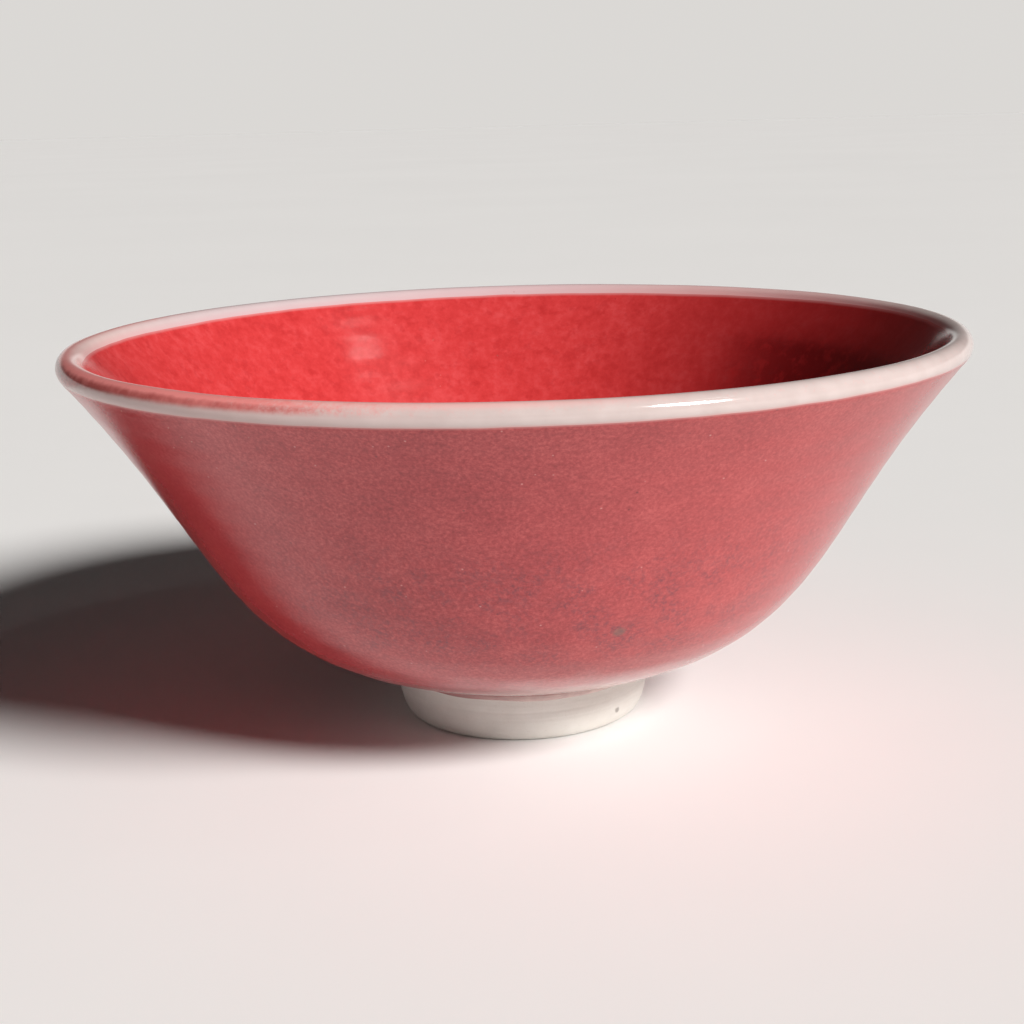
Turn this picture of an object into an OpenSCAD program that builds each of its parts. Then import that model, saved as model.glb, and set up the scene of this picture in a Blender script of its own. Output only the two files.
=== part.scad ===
// Wheel-thrown porcelain bowl with a copper-red glaze, a white lip and a bare foot ring.
// Every part is turned about +Z. The origin is the middle of the foot, on the table.

/* [Bowl] */
// Rim diameter, measured over the glaze
rim_d = 150; // [120:1:200]
// Height from the table to the top of the lip
bowl_h = 66; // [52:1:84]
// Lip thickness, over the glaze on both sides
lip_t = 4; // [3:0.1:6]
// Clay thickness of the wall where it reaches the foot
belly_t = 5.2; // [3.5:0.1:7]
// Clay thickness of the floor at its middle
floor_t = 5; // [3.5:0.1:6]

/* [Wall curve] */
// Lean of the outer wall from vertical at the lip
lip_lean = 39; // [32:1:48]
// Rise of the outer wall above horizontal at the foot
foot_rise = 11.5; // [8:0.5:16]
// How far the lip's lean carries down the wall, as a share of the wall's chord
lean_pull = 0.51; // [0.35:0.01:0.6]
// How far the foot's rise carries up the wall, as a share of the wall's chord
rise_pull = 0.42; // [0.35:0.01:0.5]

/* [Foot ring] */
// Diameter of the ring where it meets the bowl
foot_d = 44; // [36:1:56]
// Height of the ring
foot_h = 9.7; // [7.5:0.1:13]
// How far its outer side draws in from there to the standing face
foot_draw_in = 2.7; // [1:0.1:4]
// Fullness of that side, where 2 is a quarter ellipse and more is squarer
foot_fullness = 2.2; // [1.6:0.1:4]
// Width of the flat standing face
foot_land_w = 2.4; // [1.5:0.1:4]
// Radius of the edge between the standing face and the recess
foot_edge_r = 0.8; // [0.4:0.1:1.5]
// Draft of the recess wall from vertical
recess_draft = 6; // [2:1:12]

/* [Glaze] */
// Thickness of the fired glaze
glaze_t = 0.35; // [0.2:0.05:0.6]
// How far round the lip, below its widest point, the white band reaches outside
band_angle_out = 24; // [5:1:28]
// How far the white band reaches down the inner wall, below the lip's rounding
band_in = 0.9; // [0.4:0.1:4]
// Height of the glaze that ran down onto the foot ring
collar_h = 1.6; // [0.8:0.1:3]
// Thickness of that glaze at its fullest
collar_t = 0.3; // [0.15:0.05:0.6]

/* [Hidden] */
$fn = 180;
wall_steps = 44;
lip_steps = 14;
band_steps = 2;
floor_steps = 8;
foot_steps = 12;
edge_steps = 6;

porcelain = [0.90, 0.87, 0.83];
bare_clay = [0.86, 0.82, 0.77];
red_outside = [0.70, 0.32, 0.33];
red_inside = [0.80, 0.16, 0.17];
white_glaze = [0.93, 0.88, 0.86];
pale_rose = [0.82, 0.68, 0.66];

lip_r = lip_t / 2;
lip_clay_r = lip_r - glaze_t;
lip_centre = [rim_d / 2 - lip_r, bowl_h - lip_r];

// The section is drawn with x as the radius and y as the height
function unit(v) = v / norm(v);
function polar(radius, angle) = radius * [cos(angle), sin(angle)];
function steps(from, to, count) = [for (i = [0 : count]) from + (to - from) * i / count];
function after_first(points) = [for (i = [1 : len(points) - 1]) points[i]];
function reversed(points) = [for (i = [len(points) - 1 : -1 : 0]) points[i]];

// The wall's outer clay face is a cubic curve from the foot, t = 0, to the lip's rounding, t = 1
wall_foot = [foot_d / 2, foot_h];
wall_top = lip_centre + polar(lip_clay_r, -lip_lean);
chord = norm(wall_top - wall_foot);
foot_handle = wall_foot + polar(rise_pull * chord, foot_rise);
lip_handle = wall_top - polar(lean_pull * chord, 90 - lip_lean);

function wall_point(t) =
    pow(1 - t, 3) * wall_foot + 3 * pow(1 - t, 2) * t * foot_handle
    + 3 * (1 - t) * t * t * lip_handle + pow(t, 3) * wall_top;
function wall_direction(t) =
    unit(pow(1 - t, 2) * (foot_handle - wall_foot) + 2 * (1 - t) * t * (lip_handle - foot_handle)
    + t * t * (wall_top - lip_handle));
function outward(t) = let (d = wall_direction(t)) [d.y, -d.x];

// The clay thins smoothly from the foot to the lip
function clay_t(t) = belly_t + (2 * lip_clay_r - belly_t) * t * t * (3 - 2 * t);

// Faces of the wall and the lip, lifted off the clay by the thickness of a coat
function outer_face(ts, coat) = [for (t = ts) wall_point(t) + coat * outward(t)];
function inner_face(ts, coat) = [for (t = ts) wall_point(t) - (clay_t(t) + coat) * outward(t)];
function lip_face(angles, coat) = [for (a = angles) lip_centre + polar(lip_clay_r + coat, a)];

// The floor is a shallow dish, tangent to the inner wall where that is above the foot's edge
floor_edge = wall_foot - belly_t * outward(0);
dish_r = floor_edge.x / sin(foot_rise);
dish_centre = [0, floor_edge.y + dish_r * cos(foot_rise)];
function floor_face(coat) =
    [for (a = steps(foot_rise, 0, floor_steps)) dish_centre + polar(dish_r - coat, a - 90)];

// The section's three runs, from the foot over the lip to the middle of the floor. They are split
// where one glaze ends and the next begins, and a coat of 0 is the clay itself.
band_t = 1 - band_in / (3 * lean_pull * chord);
function outer_run(coat) = concat(
    outer_face(steps(0, 1, wall_steps), coat),
    after_first(lip_face(steps(-lip_lean, -band_angle_out, band_steps), coat)));
function lip_run(coat) = concat(
    lip_face(steps(-band_angle_out, 180 - lip_lean, lip_steps), coat),
    after_first(inner_face(steps(1, band_t, band_steps), coat)));
function inner_run(coat) = concat(
    inner_face(steps(band_t, 0, wall_steps), coat),
    after_first(floor_face(coat)));

// The recess under the floor, inside the foot ring
recess_z = dish_centre.y - dish_r - floor_t;
land_in_r = wall_foot.x - foot_draw_in - foot_land_w;
function recess_r(z) =
    land_in_r - foot_edge_r / cos(recess_draft) - (z - foot_edge_r) * tan(recess_draft);

// The foot ring's outer side: straight under the glaze, then drawn in to the standing face
collar_end = foot_h - collar_h;
function foot_side_r(z) =
    wall_foot.x - foot_draw_in
    + foot_draw_in * pow(1 - pow((foot_h - z) / foot_h, foot_fullness), 1 / foot_fullness);
function foot_side() =
    let (first = asin(pow(collar_h / foot_h, foot_fullness / 2)))
    [for (a = steps(first, 90, foot_steps))
        let (z = foot_h * (1 - pow(sin(a), 2 / foot_fullness)))
        [foot_side_r(z), z]];

// A coat of glaze fills the section between the clay and its own fired surface
module coat(clay_run, fired_run) {
    rotate_extrude() polygon(concat(clay_run, reversed(fired_run)));
}

module bowl_body() {
    underside = [[0, recess_z], [recess_r(recess_z), recess_z], [recess_r(foot_h), foot_h]];
    color(porcelain) rotate_extrude() polygon(concat(
        outer_run(0), after_first(lip_run(0)), after_first(inner_run(0)), underside));
}

module foot_ring() {
    edge_centre = [land_in_r, foot_edge_r];
    edge = [for (a = steps(90, recess_draft, edge_steps)) edge_centre - polar(foot_edge_r, a)];
    recess_wall = [[recess_r(recess_z), recess_z], [recess_r(foot_h), foot_h]];
    color(bare_clay) rotate_extrude() polygon(concat([wall_foot], foot_side(), edge, recess_wall));
}

module outer_glaze() {
    color(red_outside) coat(outer_run(0), outer_run(glaze_t));
}

module inner_glaze() {
    color(red_inside) coat(inner_run(0), inner_run(glaze_t));
}

module lip_glaze() {
    color(white_glaze) coat(lip_run(0), lip_run(glaze_t));
}

module foot_collar_glaze() {
    glaze_corner = wall_foot + glaze_t * outward(0);
    fullest = [foot_side_r(collar_end) + collar_t, (glaze_corner.y + collar_end) / 2];
    hem = [foot_side_r(collar_end), collar_end];
    color(pale_rose) rotate_extrude() polygon([wall_foot, glaze_corner, fullest, hem]);
}

bowl_body();
foot_ring();
outer_glaze();
inner_glaze();
lip_glaze();
foot_collar_glaze();
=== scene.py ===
"""Looks of a copper-red porcelain bowl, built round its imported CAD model. Lengths are in metres."""

import math

import bpy
import numpy as np
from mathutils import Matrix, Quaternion, Vector


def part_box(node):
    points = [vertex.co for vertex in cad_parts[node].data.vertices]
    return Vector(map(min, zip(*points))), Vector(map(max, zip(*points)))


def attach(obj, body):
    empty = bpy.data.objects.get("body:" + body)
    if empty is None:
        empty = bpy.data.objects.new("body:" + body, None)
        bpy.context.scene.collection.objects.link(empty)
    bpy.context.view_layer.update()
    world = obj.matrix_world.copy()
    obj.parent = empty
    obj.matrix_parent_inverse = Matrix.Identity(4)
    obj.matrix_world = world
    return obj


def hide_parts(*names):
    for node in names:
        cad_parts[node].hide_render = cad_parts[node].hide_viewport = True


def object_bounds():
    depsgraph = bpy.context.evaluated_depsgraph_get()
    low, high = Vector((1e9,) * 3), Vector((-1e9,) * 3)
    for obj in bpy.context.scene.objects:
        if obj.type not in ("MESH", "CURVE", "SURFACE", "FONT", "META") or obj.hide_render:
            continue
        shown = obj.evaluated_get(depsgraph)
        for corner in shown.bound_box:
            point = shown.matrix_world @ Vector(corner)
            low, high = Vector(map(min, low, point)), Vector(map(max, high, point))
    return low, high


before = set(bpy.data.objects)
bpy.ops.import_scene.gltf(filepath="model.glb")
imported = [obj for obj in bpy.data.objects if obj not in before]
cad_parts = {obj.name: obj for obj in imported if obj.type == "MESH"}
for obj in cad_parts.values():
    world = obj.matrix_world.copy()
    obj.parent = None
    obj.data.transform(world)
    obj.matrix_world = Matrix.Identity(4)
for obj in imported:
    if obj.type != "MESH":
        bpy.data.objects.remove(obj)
cad_low, cad_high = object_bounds()

MM = 0.001

# Sizes that the CAD model gives
RIM_R = cad_high.x
BOWL_H = cad_high.z
FOOT_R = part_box("foot_ring")[1].x
FOOT_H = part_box("foot_ring")[1].z
RECESS_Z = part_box("bowl_body")[0].z
GLAZE_T = RIM_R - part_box("bowl_body")[1].x

# The section's shape, as the CAD model draws it
LIP_R = 2.0 * MM
BELLY_T = 5.2 * MM
LIP_LEAN = math.radians(39)
FOOT_RISE = math.radians(11.5)
LEAN_PULL = 0.51
RISE_PULL = 0.42
FOOT_DRAW_IN = 2.7 * MM
FOOT_FULLNESS = 2.2
FOOT_LAND_W = 2.4 * MM
FOOT_EDGE_R = 0.8 * MM
RECESS_DRAFT = math.radians(6)
BAND_ANGLE_OUT = math.radians(24)

# Fineness of the section and the meshes
WALL_POINTS = 500
LIP_POINTS = 160
FLOOR_POINTS = 120
ROUND = 384
THETA = np.linspace(0, 2 * math.pi, ROUND, endpoint=False)
ROW = 0.75 * MM
FINE_ROW = 0.25 * MM
FINE_UNDER = 12 * MM
BACK_ROWS = 14
# A radius half-way up the wall, for the size of the dents there
MIDDLING_R = 50 * MM
# A coat's back lies this far off the clay
BACK_LIFT = 0.03 * MM
# A row of points this near to the axis is one point
POLE_R = 1e-7


# ---------------------------------------------------------------- the bowl's section


def polar(radius, angle):
    return radius * np.stack([np.cos(angle), np.sin(angle)], axis=-1)


LIP_CENTRE = np.array([RIM_R - LIP_R, BOWL_H - LIP_R])
LIP_CLAY_R = LIP_R - GLAZE_T
WALL_FOOT = np.array([FOOT_R, FOOT_H])
WALL_TOP = LIP_CENTRE + polar(LIP_CLAY_R, -LIP_LEAN)
CHORD = np.linalg.norm(WALL_TOP - WALL_FOOT)
FOOT_HANDLE = WALL_FOOT + polar(RISE_PULL * CHORD, FOOT_RISE)
LIP_HANDLE = WALL_TOP - polar(LEAN_PULL * CHORD, math.pi / 2 - LIP_LEAN)


def wall(t):
    """The clay wall's outer face and its outward directions, from the foot (0) to the lip (1)."""
    t = np.asarray(t, float)[:, None]
    point = (
        (1 - t) ** 3 * WALL_FOOT
        + 3 * (1 - t) ** 2 * t * FOOT_HANDLE
        + 3 * (1 - t) * t**2 * LIP_HANDLE
        + t**3 * WALL_TOP
    )
    along = (
        (1 - t) ** 2 * (FOOT_HANDLE - WALL_FOOT)
        + 2 * (1 - t) * t * (LIP_HANDLE - FOOT_HANDLE)
        + t**2 * (WALL_TOP - LIP_HANDLE)
    )
    along /= np.linalg.norm(along, axis=1, keepdims=True)
    return point, np.stack([along[:, 1], -along[:, 0]], axis=1)


def clay_section():
    """The clay's face from the foot, over the lip, to the middle of the floor.

    Gives points, normals, and the rows where the outer wall and the lip end."""
    t = np.linspace(0, 1, WALL_POINTS)
    outer, outward = wall(t)
    angle = np.linspace(-LIP_LEAN, math.pi - LIP_LEAN, LIP_POINTS)[1:]
    lip = LIP_CENTRE + polar(LIP_CLAY_R, angle)
    thick = BELLY_T + (2 * LIP_CLAY_R - BELLY_T) * t * t * (3 - 2 * t)
    inner = (outer - thick[:, None] * outward)[::-1][1:]
    inward = -outward[::-1][1:]
    dish_r = inner[-1, 0] / math.sin(FOOT_RISE)
    dish_centre = np.array([0.0, inner[-1, 1] + dish_r * math.cos(FOOT_RISE)])
    swing = np.linspace(FOOT_RISE, 0, FLOOR_POINTS)[1:] - math.pi / 2
    floor = dish_centre + polar(dish_r, swing)
    points = np.concatenate([outer, lip, inner, floor])
    normals = np.concatenate([outward, polar(1.0, angle), inward, -polar(1.0, swing)])
    return points, normals, np.cumsum([len(outer), len(lip)]) - 1


CLAY, NORMAL, (TOP_ROW, LIP_END_ROW) = clay_section()
FIRED = CLAY + GLAZE_T * NORMAL
# How far along the fired surface each point lies, counted from the foot
ALONG = np.concatenate([[0], np.cumsum(np.linalg.norm(np.diff(FIRED, axis=0), axis=1))])
TOP = ALONG[TOP_ROW]
LIP_END = ALONG[LIP_END_ROW]
MIDDLE = ALONG[-1]
BAND_LOW = TOP + LIP_R * (LIP_LEAN - BAND_ANGLE_OUT)


def section_at(along, lift):
    """Radius and height of the points so far along the section and so far off the clay."""
    out = []
    for axis in (0, 1):
        clay = np.interp(along, ALONG, CLAY[:, axis])
        out.append(clay + lift * np.interp(along, ALONG, NORMAL[:, axis]))
    return out


def foot_side(z):
    """Radius of the foot ring's outer side at a height."""
    drop = np.clip((FOOT_H - z) / FOOT_H, 0, 1)
    share = (1 - drop**FOOT_FULLNESS) ** (1 / FOOT_FULLNESS)
    return FOOT_R - FOOT_DRAW_IN * (1 - share)


# ---------------------------------------------------------------- hand-made unevenness


def wander(seed, first, last):
    """An uneven line round the bowl, from -1 to 1: waves that go round first to last times."""
    rng = np.random.default_rng(seed)
    count = np.arange(first, last + 1)
    size = rng.normal(size=len(count)) / np.sqrt(count)
    phase = rng.uniform(0, 2 * math.pi, len(count))
    line = (size[:, None] * np.sin(count[:, None] * THETA + phase[:, None])).sum(0)
    return line / np.abs(line).max()


def dents(along, theta, seed, size, count=40):
    """Soft hollows and swellings of about one size, from about -1 to 1."""
    rng = np.random.default_rng(seed)
    most_turns = int(2 * math.pi * MIDDLING_R / size)
    total = np.zeros(np.broadcast(along, theta).shape)
    for _ in range(count):
        turns = rng.integers(1, most_turns)
        pitch = rng.uniform(1, 3) * size * rng.choice([-1, 1])
        total += np.sin(turns * theta + 2 * math.pi * along / pitch + rng.uniform(0, 6.28))
    return total / math.sqrt(count)


def swing_round(degrees):
    """A wave that goes round the bowl once, 1 at that azimuth and -1 across from it."""
    return np.cos(THETA - math.radians(degrees))


# The white band's two edges, round the bowl. It is lowest at the front left outside, and reaches
# farthest at the back left inside.
BAND_DROP = 0.10 * MM * (1 + swing_round(225))
BAND_REACH = (0.85 + 0.50 * swing_round(140)) * MM
OUT_WAVES = 0.12 * MM * wander(3, 2, 9) + 0.06 * MM * wander(4, 20, 90)
IN_WAVES = 0.12 * MM * wander(5, 3, 9) + 0.08 * MM * wander(6, 12, 70)
BAND_EDGE_OUT = BAND_LOW - BAND_DROP + OUT_WAVES
BAND_EDGE_IN = LIP_END + BAND_REACH + IN_WAVES

RING_PITCH = 5.2 * MM
RING_DEPTH = 0.018 * MM
# Throwing rings fade out this near to the lip, and all relief this near to the floor's middle
LIP_FADE = 6 * MM
MIDDLE_FADE = 12 * MM
DENT_SIZE = 16 * MM
DENT_DEPTH = 0.022 * MM
# The reds end in a bead, so far from the white band's edge
BEAD_DEPTH = 0.05 * MM
BEAD_AT = 0.55 * MM
BEAD_HALF_W = 0.4 * MM


def relief(along, theta):
    """How far the fired surface stands off its section: throwing rings, dents and beads."""
    from_lip = np.minimum(np.abs(along - TOP), np.abs(along - LIP_END))
    on_wall = np.clip(from_lip / LIP_FADE, 0, 1)
    rings = RING_DEPTH * np.sin(2 * math.pi * along / RING_PITCH + theta)
    soft = DENT_DEPTH * dents(along, theta, 11, DENT_SIZE)
    bead = 0
    for edge, way in ((BAND_EDGE_OUT, -1), (BAND_EDGE_IN, 1)):
        past = (along - edge) * way
        bead = bead + BEAD_DEPTH * np.exp(-(((past - BEAD_AT) / BEAD_HALF_W) ** 2))
    middle_fade = np.clip((MIDDLE - along) / MIDDLE_FADE, 0, 1)
    return (rings * on_wall + soft) * middle_fade + bead


# ---------------------------------------------------------------- mesh making


def rows_between(start, end, step):
    """Evenly spaced rows from one edge to another, each edge given round the bowl."""
    count = max(3, int(np.ceil(np.max(np.abs(end - start)) / step)) + 1)
    u = np.linspace(0, 1, count)[:, None]
    return start + (end - start) * u


def turned(radius, height):
    """A row of points round +Z. Radius and height are each one value, or one a point."""
    radius = radius + 0 * THETA
    height = height + 0 * THETA
    return np.stack([radius * np.cos(THETA), radius * np.sin(THETA), height], axis=-1)


def is_pole(row):
    return np.hypot(row[:, 0], row[:, 1]).max() < POLE_R


def skin(name, rows, material, sharp=40):
    """A closed mesh over rows of points that go round and meet again."""
    verts, rings = [], []
    for row in rows:
        points = row[:1] if is_pole(row) else row
        rings.append(range(len(verts), len(verts) + len(points)))
        verts.extend(points.tolist())
    faces = []
    for low, high in zip(rings, rings[1:] + rings[:1]):
        for i in range(ROUND):
            j = (i + 1) % ROUND
            lower = [low[i % len(low)], low[j % len(low)]]
            upper = [high[j % len(high)], high[i % len(high)]]
            corners = list(dict.fromkeys(lower + upper))
            if len(corners) > 2:
                faces.append(corners)
    mesh = bpy.data.meshes.new(name)
    mesh.from_pydata(verts, [], faces)
    mesh.validate()
    mesh.polygons.foreach_set("use_smooth", [True] * len(mesh.polygons))
    mesh.set_sharp_from_angle(angle=math.radians(sharp))
    mesh.materials.append(material)
    piece = bpy.data.objects.new(name, mesh)
    bpy.context.scene.collection.objects.link(piece)
    return piece


def mark(piece, name, rows, values):
    """Stores one value a point on the mesh, for its material to read."""
    kept = []
    for row, value in zip(rows, values):
        kept.extend(value[:1] if is_pole(row) else value)
    layer = piece.data.attributes.new(name, "FLOAT", "POINT")
    layer.data.foreach_set("value", np.array(kept, np.float32))


def place(piece, node):
    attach(piece, "root")
    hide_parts(node)


# ---------------------------------------------------------------- material making


class Look:
    """A material being built. Each method adds nodes and returns the socket that they end in."""

    def __init__(self, name):
        self.material = bpy.data.materials.new(name)
        self.material.use_nodes = True
        self.tree = self.material.node_tree
        self.shader = self.tree.nodes["Principled BSDF"]
        self.where = self.add("ShaderNodeTexCoord").outputs["Object"]
        parts = self.add("ShaderNodeSeparateXYZ", self.where)
        self.x, self.y, self.z = parts.outputs

    def add(self, kind, *inputs, **settings):
        node = self.tree.nodes.new(kind)
        for key, value in settings.items():
            setattr(node, key, value)
        for socket, value in zip(node.inputs, inputs):
            self.put(socket, value)
        return node

    def put(self, socket, value):
        if isinstance(value, bpy.types.NodeSocket):
            self.tree.links.new(value, socket)
        elif value is not None:
            socket.default_value = value

    def math(self, operation, a, b=None, c=None):
        return self.add("ShaderNodeMath", a, b, c, operation=operation).outputs[0]

    def both(self, a, b):
        return self.math("MULTIPLY", a, b)

    def sway(self, value, noise, reach):
        """A value with noise, from 0 to 1, times a reach added to it."""
        return self.math("MULTIPLY_ADD", noise, reach, value)

    def place_for(self, size, shift):
        """Where on the piece, in units of size and moved by a shift."""
        vector = "ShaderNodeVectorMath"
        spot = self.add(vector, self.where, [1 / size] * 3, operation="MULTIPLY").outputs[0]
        return self.add(vector, spot, [shift] * 3, operation="ADD").outputs[0]

    def noise(self, size, detail=3.0, roughness=0.55, shift=0.0):
        """Noise from 0 to 1 with features of about one size."""
        node = self.add("ShaderNodeTexNoise")
        self.put(node.inputs["Vector"], self.place_for(size, shift))
        self.put(node.inputs["Scale"], 1.0)
        self.put(node.inputs["Detail"], detail)
        self.put(node.inputs["Roughness"], roughness)
        return node.outputs[0]

    def specks(self, size, radius, share, shift=0.0):
        """Round specks, 1 inside, about one size apart. Only a share of the places holds one."""
        node = self.add("ShaderNodeTexVoronoi")
        self.put(node.inputs["Vector"], self.place_for(size, shift))
        self.put(node.inputs["Scale"], 1.0)
        pick = self.add("ShaderNodeSeparateXYZ", node.outputs["Color"]).outputs[0]
        inside = self.step(node.outputs["Distance"], radius / size, 0.45 * radius / size)
        return self.both(inside, self.math("LESS_THAN", pick, share))

    def step(self, value, low, high):
        """0 below low and 1 above high, or the other way round where low is the larger."""
        node = self.add("ShaderNodeMapRange", interpolation_type="SMOOTHSTEP")
        flip = low > high
        self.put(node.inputs["Value"], value)
        self.put(node.inputs["From Min"], min(low, high))
        self.put(node.inputs["From Max"], max(low, high))
        self.put(node.inputs["To Min"], 1.0 if flip else 0.0)
        self.put(node.inputs["To Max"], 0.0 if flip else 1.0)
        return node.outputs[0]

    def ramp(self, value, *stops):
        node = self.add("ShaderNodeValToRGB", value)
        while len(node.color_ramp.elements) < len(stops):
            node.color_ramp.elements.new(0.5)
        for element, (spot, colour) in zip(node.color_ramp.elements, stops):
            element.position = spot
            element.color = (*colour, 1)
        return node.outputs[0]

    def mix(self, share, a, b):
        """Colour a where share is 0 and b where it is 1."""
        node = self.add("ShaderNodeMix", data_type="RGBA")
        self.put(node.inputs[0], share)
        for socket, colour in ((node.inputs[6], a), (node.inputs[7], b)):
            self.put(socket, colour if isinstance(colour, bpy.types.NodeSocket) else (*colour, 1))
        return node.outputs[2]

    def tint(self, body, share, strength, colour):
        """The body's colour with another laid over it, at full strength where share is 1."""
        return self.mix(self.both(share, strength), body, colour)

    def radius(self):
        square = self.math("MULTIPLY_ADD", self.x, self.x, self.both(self.y, self.y))
        return self.math("SQRT", square)

    def facing(self, azimuth):
        """1 on the side of the bowl at that azimuth, in degrees from +X, and -1 across from it."""
        a = math.radians(azimuth)
        along = self.math("MULTIPLY_ADD", self.x, math.cos(a), self.both(self.y, math.sin(a)))
        return self.math("DIVIDE", along, self.math("MAXIMUM", self.radius(), 1e-5))

    def spot(self, azimuth, radius, z, size):
        """1 in a soft uneven spot of about one size, at a place on the bowl."""
        a = math.radians(azimuth)
        centre = (radius * math.cos(a), radius * math.sin(a), z)
        wobble = self.sway(-0.4 * size, self.noise(size, 3, 0.6, 1), 0.8 * size)
        apart = self.add("ShaderNodeVectorMath", self.where, centre, operation="DISTANCE")
        uneven = self.math("ADD", apart.outputs["Value"], wobble)
        return self.step(uneven, 0.6 * size, 0.2 * size)

    def near(self, mark_name, reach):
        """1 on the line that a mark is measured from, and 0 from reach on."""
        distance = self.add("ShaderNodeAttribute", attribute_name=mark_name).outputs["Fac"]
        return self.step(distance, reach, 0.0)

    def finish(self, colour, roughness, bumps):
        """Sets the shader. Each bump is a height from 0 to 1 and how deep that is."""
        self.put(self.shader.inputs["Base Color"], colour)
        self.put(self.shader.inputs["Roughness"], roughness)
        self.shader.inputs["IOR"].default_value = GLAZE_IOR
        normal = None
        for height, depth in bumps:
            node = self.add("ShaderNodeBump")
            self.put(node.inputs["Strength"], 1.0)
            self.put(node.inputs["Distance"], depth)
            self.put(node.inputs["Height"], height)
            self.put(node.inputs["Normal"], normal)
            normal = node.outputs[0]
        self.put(self.shader.inputs["Normal"], normal)
        return self.material


# ---------------------------------------------------------------- glazes and clay

GLAZE_IOR = 1.5

# Linear red, green and blue. A ramp's stops are each a level of its noise and a colour.
OUTSIDE_RAMP = (
    (0.34, (0.27, 0.033, 0.039)),
    (0.50, (0.42, 0.059, 0.065)),
    (0.66, (0.57, 0.108, 0.108)),
)
INSIDE_RAMP = (
    (0.32, (0.50, 0.032, 0.033)),
    (0.50, (0.58, 0.045, 0.047)),
    (0.68, (0.64, 0.068, 0.072)),
)
WHITE_RAMP = ((0.35, (0.54, 0.447, 0.430)), (0.65, (0.58, 0.487, 0.470)))
HEM_RAMP = ((0.35, (0.60, 0.44, 0.42)), (0.65, (0.70, 0.55, 0.51)))
CLAY_RAMP = (
    (0.30, (0.73, 0.700, 0.650)),
    (0.50, (0.78, 0.755, 0.705)),
    (0.70, (0.82, 0.800, 0.755)),
)
WARM_RED = (0.60, 0.105, 0.10)
# Painted light and reflection for the outside's left side.
LEFT_SIDE_PAINTED_LIGHT_RED = (0.53, 0.032, 0.037)
MAUVE = (0.16, 0.045, 0.062)
THIN_ROSE = (0.52, 0.29, 0.30)
THIN_WHITE = (0.61, 0.48, 0.46)
PALE_SPECK = (0.75, 0.40, 0.38)
LIP_SPECK = (0.80, 0.50, 0.40)
DARK_SPECK = (0.12, 0.035, 0.04)
ASH = (0.15, 0.12, 0.10)
# Pooled red glaze, darkened further as painted crease shade.
POOLED_RED_AND_CREASE_SHADE = (0.22, 0.025, 0.028)
ROSE_EDGE = (0.62, 0.26, 0.25)
# Painted shade: these two darkest reds stand for the rim's shadow on the inside's right.
PAINTED_SHADE_DEEP_RED = (0.26, 0.010, 0.012)
PAINTED_SHADE_DARK_RED = (0.15, 0.004, 0.006)
INSIDE_BLOTCH = (0.42, 0.022, 0.024)
INSIDE_PALE_SPECK = (0.70, 0.25, 0.23)
INSIDE_DARK_SPECK = (0.22, 0.015, 0.018)
INSIDE_EDGE = (0.66, 0.27, 0.27)
STAIN_LIGHT = (0.84, 0.25, 0.235)
STAIN_DARK = (0.44, 0.066, 0.060)
LIP_OUT_EDGE = (0.60, 0.32, 0.31)
LIP_IN_EDGE = (0.66, 0.32, 0.33)
BLUSH = (0.86, 0.58, 0.56)
FAR_BLUSH = (0.80, 0.43, 0.43)
TOP_BLUSH = (0.90, 0.44, 0.42)
COOL_WHITE = (0.56, 0.45, 0.48)
STRAY_RED = (0.40, 0.11, 0.10)
HEM_RED = (0.34, 0.085, 0.09)
# Red glaze in the crease under the wall, darkened further as painted shade.
HEM_CREASE_RED_AND_SHADE = (0.26, 0.035, 0.038)
CLAY_GRAIN = (0.45, 0.39, 0.33)
CLAY_SPECK = (0.12, 0.09, 0.075)
IRON = (0.13, 0.10, 0.085)
TURNING_PITCH = 0.7 * MM


def glaze_gloss(look, base, spread=0.10):
    """Roughness of a fired glaze: glossy, with duller clouds."""
    return look.sway(base, look.noise(14 * MM), spread)


def orange_peel(look):
    """The fine unevenness of a fired glaze, and its pinholes."""
    pinholes = look.specks(3.4 * MM, 0.16 * MM, share=0.35, shift=9)
    return [
        (look.noise(3.2 * MM, 2), 0.020 * MM),
        (look.noise(0.8 * MM, 2, shift=5), 0.004 * MM),
        (look.math("SUBTRACT", 1.0, pinholes), 0.03 * MM),
    ]


def soft_waves(look):
    return [(look.noise(3.2 * MM, 2), 0.010 * MM)]


def mottle(look, fine, coarse, share, roughness=0.75):
    """The glaze's fine speckle on its larger clouds, from 0 to 1."""
    small = look.noise(fine, 5, roughness)
    large = look.noise(coarse, 3, 0.5, 3)
    return look.sway(look.both(small, 1 - share), large, share)


def mauve_clouds(look):
    """Fine dark clouds, low on the front."""
    low = look.both(look.step(look.z, 50 * MM, 34 * MM), look.step(look.z, 18 * MM, 26 * MM))
    front = look.step(look.facing(-84), 0.45, 1.0)
    grain = look.step(look.noise(0.8 * MM, 5, 0.80, shift=7), 0.42, 0.70)
    patches = look.step(look.noise(5 * MM, 2, 0.5, shift=9), 0.34, 0.60)
    return look.both(look.both(low, front), look.both(grain, patches))


def thin_at_foot(look):
    """Where the glaze ran thin above the foot, in a wavy edge that is higher at the right."""
    wavy = look.sway(look.z, look.noise(6 * MM, 4), 5 * MM)
    wavy = look.sway(wavy, look.facing(-50), -2.2 * MM)
    return look.step(wavy, 21.0 * MM, 12.5 * MM)


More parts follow.
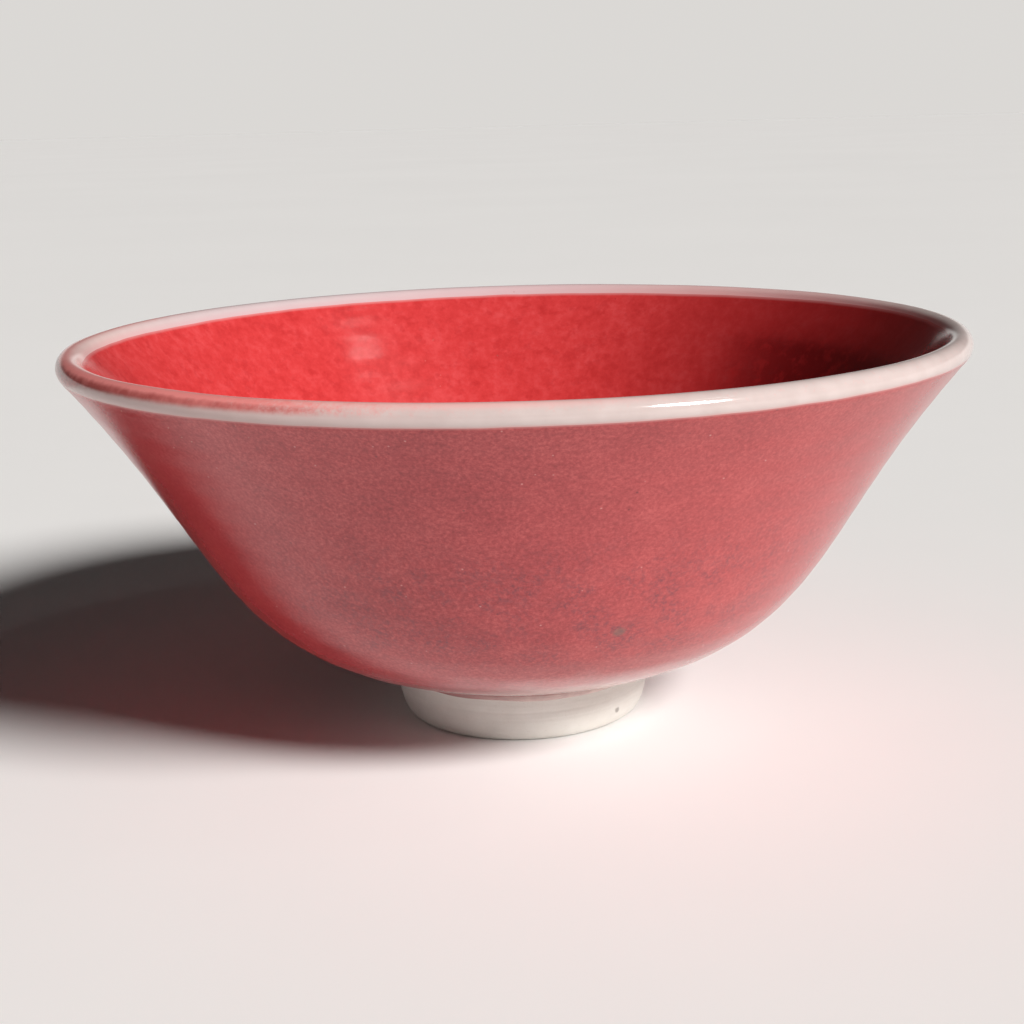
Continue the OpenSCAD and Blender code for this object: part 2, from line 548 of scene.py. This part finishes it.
def red_outside():
    look = Look("copper_red_outside")
    body = look.ramp(mottle(look, 0.58 * MM, 7 * MM, 0.20), *OUTSIDE_RAMP)
    body = look.tint(body, look.step(look.facing(-30), 0.3, 1.0), 0.30, WARM_RED)
    # Painted light and reflection: the left side gets more red, making up for the dimmer light there.
    # It also gets less green and blue, standing in for the darker reflections there.
    body = look.tint(body, look.step(look.facing(200), 0.78, 1.0), 0.6, LEFT_SIDE_PAINTED_LIGHT_RED)
    body = look.tint(body, mauve_clouds(look), 0.85, MAUVE)
    pale = look.mix(look.step(look.facing(-55), 0.55, 1.0), THIN_ROSE, THIN_WHITE)
    body = look.tint(body, thin_at_foot(look), 0.78, pale)
    body = look.tint(body, look.specks(2.1 * MM, 0.20 * MM, 0.30, shift=2), 0.50, PALE_SPECK)
    under_lip = look.both(
        look.step(look.z, 50 * MM, 60 * MM),
        look.step(look.facing(205), 0.75, 0.95),
    )
    sparkle = look.both(under_lip, look.specks(1.5 * MM, 0.17 * MM, 0.40, shift=12))
    body = look.tint(body, sparkle, 0.80, LIP_SPECK)
    body = look.tint(body, look.specks(3.7 * MM, 0.24 * MM, 0.30, shift=4), 0.60, DARK_SPECK)
    body = look.tint(body, look.spot(-74, 51.2 * MM, 27.7 * MM, 2.4 * MM), 0.6, ASH)
    # Partly painted shade: red glaze pooled where the wall meets the foot, darkened on the left as
    # the shade in that crease.
    at_foot = look.step(look.z, 10.5 * MM, 10.0 * MM)
    painted_shade_pool = look.both(at_foot, look.step(look.facing(222), 0.35, 0.9))
    body = look.tint(body, painted_shade_pool, 0.85, POOLED_RED_AND_CREASE_SHADE)
    body = look.tint(body, look.near("from_outer_edge", 0.45 * MM), 0.75, ROSE_EDGE)
    return look.finish(body, glaze_gloss(look, 0.12), orange_peel(look))


def red_inside():
    look = Look("copper_red_inside")
    body = look.ramp(mottle(look, 1.7 * MM, 6 * MM, 0.35, roughness=0.62), *INSIDE_RAMP)
    # Painted shade: the inner wall's right side, and a band on it below the rim, are darkened where
    # the near rim's shadow falls.
    on_wall = look.step(look.z, 22 * MM, 46 * MM)
    right = look.both(look.step(look.facing(0), 0.15, 0.90), on_wall)
    body = look.tint(body, right, 0.60, PAINTED_SHADE_DEEP_RED)
    height = look.both(look.step(look.z, 60 * MM, 56 * MM), look.step(look.z, 32 * MM, 50 * MM))
    painted_shade_pool = look.both(height, look.step(look.facing(15), 0.78, 0.97))
    body = look.tint(body, painted_shade_pool, 0.80, PAINTED_SHADE_DARK_RED)
    blotches = look.step(look.noise(2.6 * MM, 3, 0.6, shift=11), 0.50, 0.68)
    body = look.tint(body, blotches, 0.40, INSIDE_BLOTCH)
    light = look.specks(3.1 * MM, 0.22 * MM, 0.20, shift=2)
    body = look.tint(body, light, 0.20, INSIDE_PALE_SPECK)
    dark = look.specks(5.3 * MM, 0.25 * MM, 0.25, shift=4)
    body = look.tint(body, dark, 0.50, INSIDE_DARK_SPECK)
    body = look.tint(body, look.near("from_inner_edge", 0.8 * MM), 0.7, INSIDE_EDGE)
    return look.finish(body, glaze_gloss(look, 0.11, 0.08), orange_peel(look))


def lip_angle(look):
    """Angle round the lip's section, in radians: 0 at its widest and half pi on its top."""
    outward = look.math("SUBTRACT", look.radius(), float(LIP_CENTRE[0]))
    upward = look.math("SUBTRACT", look.z, float(LIP_CENTRE[1]))
    return look.math("ARCTAN2", upward, outward)


def lip_stain(look, angle):
    """The red that crept over the lip: how much of it there is, and its colour.

    It is dense at the left, where it reaches lowest, and breaks up towards the front."""
    angle = look.math("ADD", angle, look.sway(-0.13, look.noise(2.4 * MM, 3, 0.55, 4), 0.26))
    lower = look.both(look.step(look.facing(172), 0.74, 0.88), 0.95)
    crest = look.step(look.math("ADD", angle, lower), 0.02, 0.50)
    crest = look.both(crest, look.step(angle, 2.3, 1.1))
    around = look.sway(look.facing(200), look.noise(6 * MM), 0.24)
    cover = look.step(around, 0.52, 1.18)
    grain = look.noise(0.8 * MM, 5, 0.75, shift=8)
    broken = look.step(look.math("ADD", cover, grain), 0.50, 1.15)
    patchy = look.sway(-0.6, look.noise(2.2 * MM, 3, 0.6, shift=2), 1.2)
    depth = look.math("ADD", cover, patchy)
    depth = look.sway(depth, look.step(angle, 0.60, 1.15), -1.1)
    return look.both(crest, broken), look.mix(depth, STAIN_LIGHT, STAIN_DARK)


def white_lip():
    look = Look("white_lip_glaze")
    angle = lip_angle(look)
    body = look.ramp(look.noise(3.5 * MM, 3, 0.5), *WHITE_RAMP)
    body = look.tint(body, look.near("from_outer_edge", 0.40 * MM), 0.6, LIP_OUT_EDGE)
    body = look.tint(body, look.near("from_inner_edge", 1.5 * MM), 0.75, LIP_IN_EDGE)
    body = look.tint(body, look.step(look.facing(205), 0.40, 0.95), 0.45, BLUSH)
    body = look.tint(body, look.step(look.facing(65), 0.5, 0.95), 0.6, FAR_BLUSH)
    top = look.both(look.step(angle, 0.5, 1.2), look.step(look.facing(236), 0.55, 0.90))
    body = look.tint(body, top, 0.62, TOP_BLUSH)
    body = look.tint(body, look.step(look.facing(115), 0.45, 0.95), 0.6, COOL_WHITE)
    stain, red = lip_stain(look, angle)
    body = look.tint(body, stain, 0.92, red)
    body = look.tint(body, look.specks(4.3 * MM, 0.22 * MM, 0.20, shift=6), 0.6, STRAY_RED)
    return look.finish(body, glaze_gloss(look, 0.07), soft_waves(look))


def thin_hem():
    look = Look("thin_rose_glaze")
    body = look.ramp(look.noise(1.6 * MM, 3, 0.5), *HEM_RAMP)
    body = look.tint(body, look.step(look.facing(210), 0.35, 0.95), 0.65, HEM_RED)
    # Partly painted shade: a dark red line at the top of the hem on the left. It is red glaze
    # gathered in the crease under the wall, darkened as the shade there.
    wavy = look.sway(look.z, look.noise(4 * MM, 2), 0.4 * MM)
    crease_red_and_shade = look.both(
        look.step(wavy, 8.50 * MM, 8.85 * MM),
        look.step(look.facing(235), 0.35, 0.9),
    )
    body = look.tint(body, crease_red_and_shade, 0.95, HEM_CREASE_RED_AND_SHADE)
    return look.finish(body, glaze_gloss(look, 0.18), soft_waves(look))


def bare_porcelain(name, turning):
    """Unglazed porcelain with turning lines. Turning gives a value that runs across them."""
    look = Look(name)
    grain = look.noise(0.35 * MM, 2, 0.7, shift=3)
    body = look.ramp(look.noise(7 * MM, 5, 0.6), *CLAY_RAMP)
    body = look.tint(body, look.step(grain, 0.58, 0.80), 0.20, CLAY_GRAIN)
    body = look.tint(body, look.specks(6 * MM, 0.22 * MM, 0.30, shift=5), 0.75, CLAY_SPECK)
    body = look.tint(body, look.spot(-42.5, 21.3 * MM, 2.9 * MM, 1.2 * MM), 0.6, IRON)
    lines = look.math("SINE", look.both(turning(look), 2 * math.pi / TURNING_PITCH))
    broken = look.both(lines, look.noise(4 * MM, 2, 0.5, shift=6))
    roughness = look.sway(0.62, grain, 0.15)
    return look.finish(body, roughness, [(broken, 0.006 * MM), (grain, 0.012 * MM)])


# ---------------------------------------------------------------- the pieces

# The hem of glaze on the foot hangs lowest at the front
HEM_FROM = 1.3 * MM
HEM_DROP = (1.55 + 0.60 * swing_round(275) + 0.16 * wander(8, 3, 14)) * MM
HEM_T = (0.18 + 0.04 * wander(9, 3, 20)) * MM
HEM_BEND = 0.55
HEM_SWELL = 0.25
HEM_BACK_IN = 0.1 * MM
HEM_BACK_UP = 0.2 * MM
HEM_BEND_ROWS = 8
HEM_EDGE_ROWS = 10

# Tool lines on the foot: their depth, how they sway, their limits and where they fade to the edge
FOOT_GROOVE = 0.015 * MM
FOOT_SWAY = 0.03 * MM
GROOVE_IN = -0.1 * MM
GROOVE_OUT = 0.06 * MM
GROOVE_FADE = 1.5 * MM
RECESS_GROOVE = 0.03 * MM
RECESS_FROM = 1.2 * MM
SIDE_ROWS = 48
LAND_ROWS = (0.33, 0.66)
EDGE_ROWS = 8
RECESS_ROWS = 12
FOOT_BACK_OUT = 0.5 * MM
FOOT_BACK_DOWN = 0.05 * MM


def glaze_coat(name, node, material, start, end):
    """A closed coat of glaze between two edges of the section, each given round the bowl."""
    step = FINE_ROW if end.max() - start.min() < FINE_UNDER else ROW
    front = rows_between(start, end, step)
    back = rows_between(end, start, np.ptp(front) / BACK_ROWS)
    rows = []
    for along in front:
        rows.append(turned(*section_at(along, GLAZE_T + relief(along, THETA))))
    for along in back:
        rows.append(turned(*section_at(along, BACK_LIFT)))
    piece = skin(name, rows, material)
    everywhere = np.concatenate([front, back])
    mark(piece, "from_outer_edge", rows, np.abs(everywhere - BAND_EDGE_OUT))
    mark(piece, "from_inner_edge", rows, np.abs(everywhere - BAND_EDGE_IN))
    place(piece, node)


def make_glazes():
    foot = np.zeros(ROUND)
    middle = np.full(ROUND, MIDDLE)
    out, into = BAND_EDGE_OUT, BAND_EDGE_IN
    glaze_coat("outer_glaze_coat", "outer_glaze", red_outside(), foot, out)
    glaze_coat("lip_glaze_band", "lip_glaze", white_lip(), out, into)
    glaze_coat("inner_glaze_coat", "inner_glaze", red_inside(), into, middle)


def curve(u, start, bend, end):
    return (1 - u) ** 2 * start + 2 * u * (1 - u) * bend + u**2 * end


def make_hem():
    """The glaze that ran onto the foot: it pools under the wall and ends in a rounded edge."""
    hem = FOOT_H - HEM_DROP
    pool_z = FOOT_H - GLAZE_T
    start_r, start_z = section_at(HEM_FROM, GLAZE_T)
    bend_z = hem + HEM_BEND * (pool_z - hem)
    bend_r = foot_side(bend_z) + HEM_T
    rows = []
    for u in np.linspace(0, 1, HEM_BEND_ROWS):
        radius = curve(u, start_r, FOOT_R + HEM_T, bend_r)
        rows.append(turned(radius, curve(u, start_z, pool_z, bend_z)))
    for u in np.sin(np.linspace(0, math.pi / 2, HEM_EDGE_ROWS))[1:]:
        height = bend_z + (hem - bend_z) * u
        swell = HEM_T * (1 + HEM_SWELL * math.sin(math.pi * u)) * math.sqrt(1 - u**4)
        rows.append(turned(foot_side(height) + swell, height))
    rows.append(turned(FOOT_R - HEM_BACK_IN, FOOT_H))
    rows.append(turned(start_r, start_z + HEM_BACK_UP))
    piece = skin("foot_glaze_hem", rows, thin_hem(), sharp=60)
    place(piece, "foot_collar_glaze")


def foot_outside(rng):
    """The ring's outer side, with tool lines, and its standing face."""
    rows = []
    sway = FOOT_SWAY * wander(31, 1, 3)
    share = np.sin(np.linspace(0, math.pi / 2, SIDE_ROWS)) ** (2 / FOOT_FULLNESS)
    for z in FOOT_H * (1 - share):
        fade = min(1.0, z / GROOVE_FADE)
        groove = FOOT_GROOVE * rng.normal() * fade + sway * fade
        rows.append(turned(foot_side(z) + np.clip(groove, GROOVE_IN, GROOVE_OUT), z))
    for across in LAND_ROWS:
        rows.append(turned(FOOT_R - FOOT_DRAW_IN - FOOT_LAND_W * across, 0))
    return rows


def foot_inside(rng):
    """The ring's rounded inner edge and the tapered wall of its recess."""
    rows = []
    land_in = FOOT_R - FOOT_DRAW_IN - FOOT_LAND_W
    for angle in np.linspace(math.pi / 2, RECESS_DRAFT, EDGE_ROWS):
        rows.append(turned(*(np.array([land_in, FOOT_EDGE_R]) - polar(FOOT_EDGE_R, angle))))
    wall_r = land_in - FOOT_EDGE_R / math.cos(RECESS_DRAFT)
    for z in np.linspace(RECESS_FROM, RECESS_Z, RECESS_ROWS):
        tool = RECESS_GROOVE * rng.normal() if z < RECESS_Z else 0
        rows.append(turned(wall_r - (z - FOOT_EDGE_R) * math.tan(RECESS_DRAFT) + tool, z))
    last_r = rows[-1][0, 0]
    rows.append(turned(last_r + FOOT_BACK_OUT, FOOT_H - FOOT_BACK_DOWN))
    return rows


def make_foot():
    rng = np.random.default_rng(21)
    rows = foot_outside(rng) + foot_inside(rng)
    material = bare_porcelain("bare_foot", lambda look: look.z)
    piece = skin("turned_foot_ring", rows, material, sharp=50)
    place(piece, "foot_ring")


def dress_clay():
    """The clay body keeps its CAD mesh. Only its underside shows, inside the foot ring."""
    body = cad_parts["bowl_body"]
    body.data.materials.clear()
    body.data.materials.append(bare_porcelain("bare_porcelain", lambda look: look.radius()))


# ---------------------------------------------------------------- camera, light and floor

CAMERA_AT = Vector((0, -282.3, 101.6)) * MM
LOOKS_AT = Vector((0, 0, 35)) * MM
CAMERA_ROLL = math.radians(-1.57)
LENS = 59.0
SENSOR = 36.0
SHIFT_X = -0.0063
SHIFT_Y = -0.0041
CLIP_START = 0.01

# The world's brightness by the height of the direction, and its tint
WORLD_LEVELS = ((0.0, 0.707), (0.07, 0.707), (0.12, 0.03), (1.0, 0.018))
WORLD_TINT = (1.0, 0.973, 0.942)
# Azimuth and elevation of the main light, and of three faint ones that stand for a window
KEY_AT = (47, 37)
KEY_STRENGTH = 4.5
KEY_SOFTNESS = 16
KEY_COLOUR = (1.0, 0.97, 0.94)
WINDOW_AT = ((67, 57), (71, 56), (75, 55))
WINDOW_STRENGTH = 0.011
WINDOW_SOFTNESS = 2.2
WINDOW_COLOUR = (1.0, 0.98, 0.96)
FLOOR_HALF = 12.0
FLOOR_RAMP = ((0.3, (0.88, 0.88, 0.88)), (0.7, (0.90, 0.90, 0.90)))


def make_camera():
    data = bpy.data.cameras.new("camera")
    data.lens = LENS
    data.sensor_width = SENSOR
    data.shift_x = SHIFT_X
    data.shift_y = SHIFT_Y
    data.clip_start = CLIP_START
    camera = bpy.data.objects.new("camera", data)
    camera.location = CAMERA_AT
    aim = (LOOKS_AT - CAMERA_AT).to_track_quat("-Z", "Y")
    camera.rotation_mode = "QUATERNION"
    camera.rotation_quaternion = aim @ Quaternion((0, 0, 1), CAMERA_ROLL)
    bpy.context.scene.collection.objects.link(camera)
    bpy.context.scene.camera = camera


def make_sun(name, azimuth, elevation, strength, softness, colour):
    """A far soft light. Azimuth is counted from the front, -Y, towards +X, in degrees."""
    data = bpy.data.lights.new(name, "SUN")
    data.energy = strength
    data.angle = math.radians(softness)
    data.color = colour
    light = bpy.data.objects.new(name, data)
    a = math.radians(azimuth)
    e = math.radians(elevation)
    toward = Vector((math.sin(a) * math.cos(e), -math.cos(a) * math.cos(e), math.sin(e)))
    light.rotation_mode = "QUATERNION"
    light.rotation_quaternion = toward.to_track_quat("Z", "Y")
    bpy.context.scene.collection.objects.link(light)


def make_world():
    """A pale band round the horizon under a dim ceiling."""
    world = bpy.data.worlds.new("studio")
    world.use_nodes = True
    tree = world.node_tree
    sky = tree.nodes["Background"]
    where = tree.nodes.new("ShaderNodeTexCoord")
    parts = tree.nodes.new("ShaderNodeSeparateXYZ")
    ramp = tree.nodes.new("ShaderNodeValToRGB")
    tree.links.new(where.outputs["Generated"], parts.inputs[0])
    tree.links.new(parts.outputs[2], ramp.inputs[0])
    tree.links.new(ramp.outputs[0], sky.inputs["Color"])
    while len(ramp.color_ramp.elements) < len(WORLD_LEVELS):
        ramp.color_ramp.elements.new(0.5)
    for element, (spot, level) in zip(ramp.color_ramp.elements, WORLD_LEVELS):
        element.position = spot
        element.color = (*(level * tint for tint in WORLD_TINT), 1)
    sky.inputs["Strength"].default_value = 1.0
    bpy.context.scene.world = world


def make_floor():
    """A wide pale floor, which can be seen through from below."""
    look = Look("pale_floor")
    tone = look.ramp(look.noise(0.4), *FLOOR_RAMP)
    look.finish(tone, look.sway(0.6, look.noise(0.02), 0.1), [])
    clear = look.add("ShaderNodeBsdfTransparent").outputs[0]
    behind = look.add("ShaderNodeNewGeometry").outputs["Backfacing"]
    both = look.add("ShaderNodeMixShader", behind, look.shader.outputs[0], clear).outputs[0]
    look.put(look.tree.nodes["Material Output"].inputs["Surface"], both)
    s = FLOOR_HALF
    mesh = bpy.data.meshes.new("floor")
    mesh.from_pydata([(-s, -s, 0), (s, -s, 0), (s, s, 0), (-s, s, 0)], [], [(0, 1, 2, 3)])
    mesh.materials.append(look.material)
    floor = bpy.data.objects.new("floor", mesh)
    bpy.context.scene.collection.objects.link(floor)


make_camera()
make_world()
make_sun("key", *KEY_AT, KEY_STRENGTH, KEY_SOFTNESS, KEY_COLOUR)
for azimuth, elevation in WINDOW_AT:
    name = f"second_window_{azimuth}"
    make_sun(name, azimuth, elevation, WINDOW_STRENGTH, WINDOW_SOFTNESS, WINDOW_COLOUR)
make_floor()
make_glazes()
make_hem()
make_foot()
dress_clay()

bpy.context.scene.view_settings.view_transform = "Standard"
